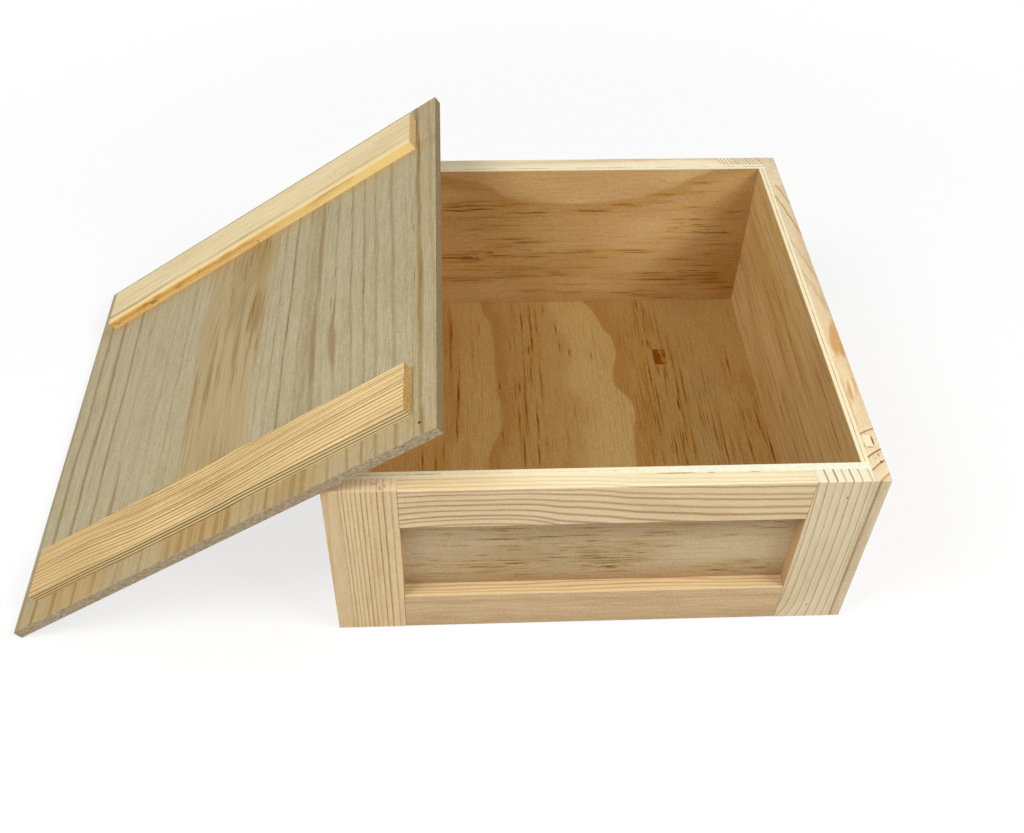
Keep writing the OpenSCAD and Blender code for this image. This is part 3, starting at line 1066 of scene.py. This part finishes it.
FRONT_GLUE_RUN = (
    (-139, 1.0), (-93, 1.0), (-86, 0.2), (-72, 0.35), (-52, 0.35), (-40, 0.1), (-16, 0.45), (2, 0.4),
    (12, 0.1), (139, 0.1),
)
floor_veneer = plywood(
    "floor veneer", "y", PALE_VENEER, BAND_VENEER, STREAK_VENEER, seed=21.0,
    streaks=gathering(Y, X, FLOOR_GATHERING), streak_run=75.0, cloud_share=0.15, broad=floor_bands,
    drawn=placed(Y, X, FLOOR_STREAKS, darkest=1.0), dress=(floor_patch,))
front_veneer = plywood(
    "front wall veneer", "x", GREY_VENEER, seen(174, 140, 94), seen(108, 70, 20), seed=22.0,
    band_share=0.55, streaks=gathering(X, Z, PANEL_GATHERING), streak_run=36.0, threads=0.15,
    broad=panel_bands, drawn=placed(X, Z, PANEL_STREAKS, darkest=0.85), stain=0.6,
    dress=(plies_on_rim(Y, -LINING_OUT, -LINING_IN, 0.3, FRONT_GLUE_RUN, 1.0),))
back_veneer = plywood(
    "back wall veneer", "x", PALE_WALL, BAND_WALL, STREAK_VENEER, seed=23.0, band_share=0.7,
    streaks=gathering(X, Z, BACK_GATHERING), streak_run=48.0, threads=0.12, broad=back_wall_bands,
    drawn=placed(X, Z, BACK_STREAKS, darkest=0.85),
    dress=(plies_on_rim(Y, LINING_OUT, LINING_IN, whiter_share=0.5),))
left_veneer = plywood(
    "left wall veneer", "y", PALE_WALL, BAND_WALL, STREAK_VENEER, seed=24.0, band_width=70, start=5,
    sway=14, band_share=0.25, dress=(plies_on_rim(X, -LINING_OUT, -LINING_IN),))
right_veneer = plywood(
    "right wall veneer", "y", seen(218, 187, 131), BAND_WALL, STREAK_VENEER, seed=25.0, band_share=0.45,
    threads=0.55, broad=right_wall_bands, drawn=placed(Y, Z, RIGHT_STREAKS, half_width=1.0), stain=0.7,
    dress=(right_wall_shade, plies_on_rim(X, LINING_OUT, LINING_IN, 0.5)))
box_board("floor_panel", [], floor_veneer)
for node, veneer in (
    ("front_lining", front_veneer), ("back_lining", back_veneer), ("left_lining", left_veneer),
    ("right_lining", right_veneer),
):
    box_board(node, [], veneer)


# Lid

LID_MIDDLE = 153.7
LID_FACE_HALF = 153.45
LID_END_HALF = 153.55
BATTEN_HALF = 137.85


def batten_side(z):
    """One on a batten's sides, and nothing on its face."""
    return fade(z, 13.0, 13.5, 1.0, 0.0)


def past(x, half):
    """One where a place is further than a half length from the lid's middle."""
    return sums("GREATER_THAN", sums("ABSOLUTE", less(x, LID_MIDDLE)), half)


LID_LINES = (
    (2, 2.4, 0.5), (14, 2.5, 0.8), (29, 3.0, 0.8), (36, 2.0, 0.2), (46.5, 1.8, 0.85), (60.5, 1.6, 0.2),
    (72, 2.4, 0.12), (86, 2.6, 0.25), (101, 2.0, 0.35), (107, 1.6, 0.2), (177, 1.6, 0.3), (185, 2.0, 0.35),
    (195, 1.8, 0.7), (206.5, 2.6, 0.4), (212, 8.0, 0.32), (218, 3.6, 0.6), (224, 1.8, 0.12),
    (232, 2.0, 0.35), (244.5, 1.7, 0.5), (254, 1.7, 0.5), (263, 2.2, 0.4), (270, 1.4, 0.1), (276, 2.4, 0.5),
    (286, 2.0, 0.12), (290, 1.8, 0.2), (295, 2.6, 0.7), (304.5, 2.2, 0.3),
)


def lid_across(place):
    """How far across the lid a place lies, with the grain's slight lean and waver."""
    x, y, z = split(place)
    waver = noise(stretch(place, 0.015, 0.012, 0.02), 2.0)
    slope = drawn_line(x, [(0, 0.01), (200, 0.01), (250, 0.045), (278, 0.045), (295, 0.02), (307, 0.02)])
    lean = times(y, slope)
    leaning = plus(x, lean)
    return swayed(leaning, waver, 3.0)


def lid_lines(place):
    """The lid's ring lines: a few on the left, hardly any next to them, and a close row on the right."""
    x, y, z = split(place)
    lines = hand_lines(lid_across(place), LID_LINES)
    return times(lines, fade(y, -140.0, -130.0, 1.55, 1.0))


def lid_heart_band(place, colour):
    """The browner band up the middle of the lid, where the rings run level with its face."""
    x, y, z = split(place)
    ragged = noise(stretch(place, 0.3, 0.03, 0.3), 3.0, 0.6)
    across = swayed(lid_across(place), ragged, 5.0)
    begin = fade(y, 60.0, 110.0, 113.0, 101.0)
    begun = fade(across, begin, plus(begin, fade(y, 60.0, 110.0, 7.0, 20.0)))
    band = times(begun, fade(across, 163.0, 180.0, 1.0, 0.0))
    behind = highest(less(y, 10.0), 0.0)
    leaning = scaled(behind, -0.16, scaled(y, 0.03, x))
    fine = noise(stretch(join(leaning, y, z), 0.92, 0.016, 0.92), 4.0, 0.7)
    darker = gathered(y, across, (
        (60, 152, 62, 22, 0.07), (90, 146, 34, 8, 0.1), (28, 164, 28, 7, 0.17), (96, 162, 28, 9, 0.11),
        (0, 170.5, 42, 2.6, 0.13), (-16, 131, 52, 3.0, 0.13), (-25, 139.5, 34, 2.4, 0.12),
        (-8, 151.5, 48, 2.8, 0.13), (6, 163, 34, 2.2, 0.1), (-40, 119, 48, 4.5, 0.09),
        (-150, 142, 30, 8, 0.05),
    ))
    paler = gathered(y, across, (
        (0, 135, 32, 2.4, 0.1), (-12, 145, 42, 3.0, 0.07), (0, 155.5, 42, 2.4, 0.08),
        (62, 133, 36, 2.2, 0.08), (-28, 166, 24, 2.2, 0.08),
    ))
    deep = less(plus(fine, darker), paler)
    streaky = tint(fade(deep, 0.4, 0.82), seen(186, 164, 121), seen(137, 107, 53))
    return tint(times(band, 0.85), colour, streaky)


def lid_edges(place, colour):
    """The lid's edges, greyer and darker than its face."""
    x, y, z = split(place)
    side = past(x, LID_FACE_HALF)
    end = sums("GREATER_THAN", sums("ABSOLUTE", y), LID_END_HALF)
    fuzz = noise(stretch(place, 0.3, 0.3, 1.6), 4.0, 0.75)
    fuzz = fade(fuzz, 0.36, 0.64)
    dark = tint(side, seen(136, 117, 87), seen(121, 100, 64))
    light = tint(side, seen(203, 184, 154), seen(149, 128, 92))
    edge = tint(fuzz, dark, light)
    return tint(times(highest(side, end), 0.9), colour, edge)


def lid_border(place, colour):
    """The lid's yellower border outside the battens, and a yellow-brown strip along the back one that is
    painted shade and light bounced off the batten's side.
    """
    x, y, z = split(place)
    front = fade(y, -141.0, -134.0, 0.5, 0.0)
    patchy = drawn_line(x, [
        (0, 0.5), (12, 0.5), (20, 0.95), (66, 1.0), (76, 0.55), (108, 0.5), (118, 0.7), (160, 0.9),
        (176, 0.75), (226, 0.9), (242, 0.5), (288, 0.5), (307, 0.5),
    ])
    end = fade(x, 288.0, 296.0, 0.0, 0.12)
    yellow = highest(times(front, patchy), end)
    colour = tint(yellow, colour, seen(184, 148, 88))
    # Painted shade and painted bounced light: the yellow-brown strip in front of the back batten.
    beside = times(fade(y, 93.0, 104.0, 0.0, 0.35), fade(y, 108.0, 112.0, 1.0, 0.0))
    beside = highest(beside, gathered(y, x, ((86, 166, 34, 14, 0.4), (28, 166, 28, 10, 0.3))))
    colour = tint(beside, colour, seen(168, 134, 74))
    across = lid_across(place)
    lone_lines = gathered(y, across, (
        (-105, 63, 60, 2.4, 0.6), (-45, 231.5, 28, 3.4, 0.5), (-152, 123, 20, 2.2, 0.35),
        (-152, 132, 20, 2.6, 0.45), (-152, 140, 20, 2.0, 0.3), (-152, 149, 20, 2.6, 0.45),
        (-152, 159, 20, 2.4, 0.45), (-152, 167, 20, 2.8, 0.5), (-152, 82, 20, 2.6, 0.3),
        (-152, 202, 20, 2.4, 0.3), (-152, 212, 20, 2.4, 0.3), (52, 218.5, 50, 3.0, 0.35),
        (-40, 217.5, 45, 3.0, 0.35), (60, 295.5, 60, 2.0, 0.3), (-40, 296, 60, 2.6, 0.45),
        (10, 29, 110, 2.4, 0.2),
    ))
    return tint(lone_lines, colour, seen(140, 103, 54))


LID_DASHES = (
    (82, 14.4, 6, 0.5), (72, 57.7, 5, 0.45), (74, 60, 4, 0.4), (59, 51, 4, 0.45), (36, 78.8, 5, 0.4),
    (26, 84, 8, 0.4), (25, 67.3, 3, 0.35), (19, 18.3, 4, 0.6), (5, 36.5, 5, 0.35), (21, 38.5, 4, 0.35),
    (-16, 54.8, 5, 0.3), (1, 86.5, 12, 0.4), (76, 100, 14, 0.45), (9, 101, 11, 0.4), (-39, 103, 10, 0.35),
    (86, 113.5, 9, 0.4), (93, 135.6, 8, 0.7), (62, 138.5, 8, 0.6), (59, 132.7, 5, 0.5), (90, 152, 10, 0.6),
    (80, 148, 11, 0.7), (41, 151, 9, 0.5), (18, 158.6, 7, 0.6), (12, 132.7, 6, 0.5), (7, 115.4, 6, 0.4),
    (-10, 118, 8, 0.4), (1, 152, 11, 0.5), (-22, 141, 8, 0.45), (-16, 130.8, 11, 0.5), (89, 158.7, 11, 0.5),
    (99, 164.4, 6, 0.5), (91, 168.3, 6, 0.6), (33, 161.5, 9, 0.8), (31, 170, 13, 0.5), (16, 172, 9, 0.5),
    (-1, 163, 9, 0.5), (-9, 169, 6, 0.6), (24, 185, 4, 0.45), (-11, 184.6, 6, 0.4), (95, 183.7, 6, 0.4),
    (74, 193.3, 8, 0.5), (47, 194.2, 14, 0.7), (16, 195.6, 11, 0.5), (-7, 195, 11, 0.6),
    (99, 205.8, 6, 0.4), (95, 219.2, 6, 0.6), (-1, 216.3, 6, 0.4), (20, 230.8, 5, 0.5), (-9, 229.2, 6, 0.6),
    (-15, 232.7, 12, 0.7), (76, 240.4, 12, 0.5), (43, 242.3, 9, 0.4), (8, 244.2, 12, 0.4),
    (-11, 254.8, 12, 0.5), (22, 253.8, 8, 0.5), (1, 277, 12, 0.45), (51, 273, 9, 0.35),
    (106, 294.2, 12, 0.8), (85, 293.7, 8, 0.7), (31, 289.4, 6, 0.4), (20, 291.3, 3, 0.7),
    (-28, 292.3, 9, 0.6), (-28, 297, 11, 0.6), (47, 284.6, 6, 0.35),
)


def lid_dress(place, colour):
    """The lid's band, border, fine dashes, edges and one small dark pin knot near the front corner."""
    x, y, z = split(place)
    colour = lid_border(place, lid_heart_band(place, colour))
    dashes, _ = drawn_streaks(y, x, LID_DASHES, half_width=0.75, darkest=1.0)
    colour = tint(dashes, colour, seen(110, 86, 46))
    colour = lid_edges(place, colour)
    knot = gathered(x, y, ((296.8, -145.0, 1.3, 1.3, 0.9),))
    return tint(knot, colour, seen(62, 50, 34))


def front_batten_grain(place):
    """Grain of the front batten, sagging in the middle of its length and most along its back edge."""
    x, y, z = split(place)
    sag = drawn_line(x, [
        (15, 0.0), (50, -0.12), (85, -0.6), (117, -1.0), (147, -1.0), (177, -0.75), (207, -0.4),
        (247, -0.12), (292, 0.0),
    ])
    sag = times(sag, drawn_line(y, [(-138, 6.0), (-104, 7.0)]))
    return join(x, less(y, sag), z)


def front_batten_faces(place, colour):
    """The front batten's sawn sides, brightened with painted light, with a dark line along their foot that
    is painted contact shadow and glue line, and its ends of speckled end grain.
    """
    x, y, z = split(place)
    bowed = drawn_line(x, [(15, 0.0), (60, 0.2), (110, 1.2), (150, 1.2), (185, 0.3), (292, -0.3)])
    # The lowest line, at the batten's foot, is painted contact shadow together with the glue line.
    lines = hand_lines(plus(z, bowed), (
        (6.4, 0.5, 0.6), (7.8, 0.95, 0.95), (9.8, 1.0, 1.0), (11.8, 1.0, 1.0), (13.7, 0.7, 0.7),
    ))
    # Painted light: the sides' pale colour is raised to make up for the light that the upright sides get
    # less of.
    sawn = tint(lines, seen(255, 242, 188), seen(124, 70, 18))
    colour = tint(batten_side(z), colour, sawn)
    speckle = noise(stretch(place, 1.0, 1.0, 0.4), 3.0, 0.7)
    ends = tint(fade(speckle, 0.38, 0.64), seen(206, 170, 106), seen(160, 120, 64))
    colour = tint(fade(x, 15.0, 170.0, 0.45, 0.0), colour, seen(200, 164, 112))
    colour = tint(fade(x, 130.0, 250.0, 0.0, 0.18), colour, seen(250, 222, 168))
    return tint(times(past(x, BATTEN_HALF), 0.9), colour, ends)


def back_batten_lines(place):
    """The back batten's few faint lines, the clearest one near its front edge."""
    x, y, z = split(place)
    waver = noise(stretch(place, 0.02, 0.05, 0.05), 2.0)
    across = swayed(y, waver, 1.5)
    lines = hand_lines(across, ((109.4, 2.4, 0.95), (112, 1.4, 0.12), (117, 2.0, 0.25), (123, 2.4, 0.15)))
    patchy = drawn_line(x, [
        (15, 1.0), (66, 0.9), (88, 0.45), (118, 0.4), (140, 0.8), (162, 0.65), (200, 0.3), (234, 0.55),
        (256, 0.4), (292, 0.3),
    ])
    return times(lines, patchy)


def sawn_side(place, colour):
    """The back batten's yellow sawn sides with a broken brown streak, and its yellow front arris."""
    x, y, z = split(place)
    waver = noise(stretch(place, 0.12, 0.6, 0.9), 4.0, 0.7)
    height = swayed(z, waver, 3.5)
    height = less(height, fade(x, 195.0, 245.0, 0.0, 2.6))
    run = drawn_line(x, [
        (15, 0.9), (30, 0.6), (57, 0.85), (72, 0.5), (86, 0.65), (105, 0.6), (140, 0.55), (170, 0.3),
        (198, 0.2), (215, 0.5), (238, 0.45), (252, 0.0), (292, 0.0),
    ])
    streak = times(hand_lines(height, ((10.8, 2.4, 1.0), (8.2, 1.0, 0.6))), run)
    ticks = gathered(x, height, (
        (58, 9.6, 4, 1.0, 0.9), (22, 8.6, 3, 0.8, 0.9), (104, 11.8, 2, 0.8, 0.8), (83, 10.6, 4, 0.8, 0.6),
        (157, 8.4, 2, 0.7, 0.7),
    ))
    clean = tint(fade(x, 20.0, 260.0), seen(252, 208, 124), seen(255, 224, 150))
    sawn = tint(streak, clean, seen(172, 114, 40))
    sawn = tint(times(ticks, 0.7), sawn, seen(116, 74, 26))
    arris = fade(y, 106.2, 107.4, 0.55, 0.0)
    colour = tint(arris, colour, seen(252, 226, 158))
    colour = tint(times(batten_side(z), 0.95), colour, sawn)
    return tint(times(past(x, BATTEN_HALF), 0.8), colour, seen(204, 170, 118))


lid_wood = pine(
    "lid board wood", "y", (145, -200), 5.3, LID_GREY, LID_BROWN, on_lid=True, near=208.3, strength=0.85,
    warm=LID_BROWN, warm_share=0.12, seed=31.0, fleck=0.3, ramp_share=0.1, lines=lid_lines,
    dress=lid_dress, fibre=0.52, fuzz=0.8)
front_batten_pine = pine(
    "front batten pine", "x", (-176, -97), 1.1, seen(238, 207, 146), seen(120, 80, 14), on_lid=True,
    near=40, uneven=0.5, wander=0.35, share=0.7, strength=1.0, faint=0.42, seed=32.0, warm_share=0.3,
    bend=front_batten_grain, dress=front_batten_faces)
back_batten_pine = pine(
    "back batten pine", "x", (132, -90), 5.0, seen(238, 218, 171), seen(176, 137, 82), on_lid=True,
    strength=0.85, seed=33.0, ramp_share=0.0, lines=back_batten_lines, dress=sawn_side, fibre=0.7)
half = LID_W / 2
lid_piece("lid_board", (0, -half, 0), (LID_W, half, LID_T),
          ["left top", "right top", "left under", "right under"], LID_EDGE, lid_wood)
batten_start = (LID_W - BATTEN_L) / 2
for name, front_y, material in (
    ("lid_front_batten", -BATTEN_SPAN / 2, front_batten_pine),
    ("lid_back_batten", BATTEN_SPAN / 2 - BATTEN_W, back_batten_pine),
):
    low = (batten_start, front_y, LID_T)
    high = (batten_start + BATTEN_L, front_y + BATTEN_W, LID_T + BATTEN_T)
    lid_piece(name, low, high, ["front top", "back top"], BATTEN_EDGE, material)


# Brads

def make_brad_steel():
    """Dull dark steel, a little blotched."""
    material, tree, shader = new_material("brad steel", 0.5)
    place = box_place(tree)
    blotch = noise(stretch(place, 3.0, 3.0, 3.0), 3.0, 0.6)
    feed(shader.inputs["Base Color"], tint(blotch, seen(62, 54, 46), seen(116, 104, 90)))
    feed(shader.inputs["Roughness"], spread(blotch, 0.35, 0.7))
    shader.inputs["Metallic"].default_value = 0.6
    return material


brad_steel = make_brad_steel()
BRAD_R = 0.6 * MM
BRAD_L = 2.0 * MM
BRAD_PROUD = 0.05 * MM
BRAD_WEAR = 0.12 * MM


def front_brad(name, x, z):
    """The head of a thin brad, set just proud of the front frame."""
    bpy.ops.object.select_all(action="DESELECT")
    middle = (x * MM, -HALF_W - BRAD_PROUD + BRAD_L / 2, z * MM)
    bpy.ops.mesh.primitive_cylinder_add(vertices=20, radius=BRAD_R, depth=BRAD_L, location=middle,
                                        rotation=(math.pi / 2, 0, 0))
    brad = bpy.context.active_object
    brad.name = name
    bpy.ops.object.transform_apply(location=True, rotation=True, scale=True)
    bevel = brad.modifiers.new("worn head", "BEVEL")
    bevel.width = BRAD_WEAR
    bevel.segments = 2
    bpy.ops.object.shade_smooth()
    bpy.ops.object.modifier_apply(modifier=bevel.name)
    hang(brad, "box", brad_steel)


front_brad("front_right_upper_brad", 131.0, 113.3)
front_brad("front_right_lower_brad", 129.7, 12.4)


# Stage, light and camera

TABLE_SIZE = 16.0
TABLE_DROP = 0.6 * MM
TABLE_LIT = 0.62
TABLE_SEEN = 0.96
SKY_LIT = 0.35
SKY_SEEN = 1.0
LAMP_SIZE = 0.7
LAMP_AIM = Vector((0, 0, 0.05))


def seen_directly(tree):
    """One for rays from the camera, also by way of gloss and glass, and nothing for light on the wood."""
    path = tree.nodes.new("ShaderNodeLightPath").outputs
    return highest(highest(path["Is Camera Ray"], path["Is Glossy Ray"]), path["Is Transmission Ray"])


bpy.ops.object.select_all(action="DESELECT")
bpy.ops.mesh.primitive_plane_add(size=TABLE_SIZE, location=(0, 0, -TABLE_DROP))
table = bpy.context.active_object
table.name = "table"
table_paint, paint_tree, paint = new_material("pale table", 0.0)
paint.inputs["Roughness"].default_value = 0.9
glow = paint_tree.nodes.new("ShaderNodeEmission")
glow.inputs["Strength"].default_value = 1.0
direct = seen_directly(paint_tree)
feed(paint.inputs["Base Color"], grey(spread(direct, TABLE_LIT, TABLE_SEEN)))
coords = paint_tree.nodes.new("ShaderNodeTexCoord")
distance = paint_tree.nodes.new("ShaderNodeVectorMath")
distance.operation = "LENGTH"
feed(distance.inputs[0], coords.outputs["Object"])
whiter = fade(distance.outputs["Value"], 0.36, 0.75, 0.75, 1.0)
paint_mix = paint_tree.nodes.new("ShaderNodeMixShader")
feed(paint_mix.inputs[0], times(direct, whiter))
feed(paint_mix.inputs[1], paint.outputs[0])
feed(paint_mix.inputs[2], glow.outputs[0])
feed(paint_tree.nodes["Material Output"].inputs["Surface"], paint_mix.outputs[0])
table.data.materials.append(table_paint)

world = bpy.data.worlds.new("studio")
bpy.context.scene.world = world
world.use_nodes = True
sky_light = world.node_tree.nodes["Background"]
sky_light.inputs["Color"].default_value = (1, 1, 1, 1)
feed(sky_light.inputs["Strength"], spread(seen_directly(world.node_tree), SKY_LIT, SKY_SEEN))

for name, place, energy in (
    ("left lamp", (-0.95, -0.55, 1.25), 13.0),
    ("right lamp", (0.95, -0.55, 1.25), 14.0),
):
    bpy.ops.object.light_add(type="AREA", location=place)
    lamp = bpy.context.active_object
    lamp.name = name
    lamp.data.shape = "SQUARE"
    lamp.data.size = LAMP_SIZE
    lamp.data.energy = energy
    lamp.rotation_euler = (LAMP_AIM - lamp.location).to_track_quat("-Z", "Y").to_euler()

bpy.ops.object.camera_add(location=(-0.0823, -0.5393, 0.5909))
camera = bpy.context.active_object
camera.name = "photo camera"
camera.rotation_euler = [math.radians(turn) for turn in (44.429, -0.911, -2.336)]
camera.data.sensor_fit = "HORIZONTAL"
camera.data.sensor_width = 36
camera.data.lens = 40.198
camera.data.shift_x = 0.01421
camera.data.shift_y = -0.01828
bpy.context.scene.camera = camera
bpy.context.scene.view_settings.view_transform = "Standard"
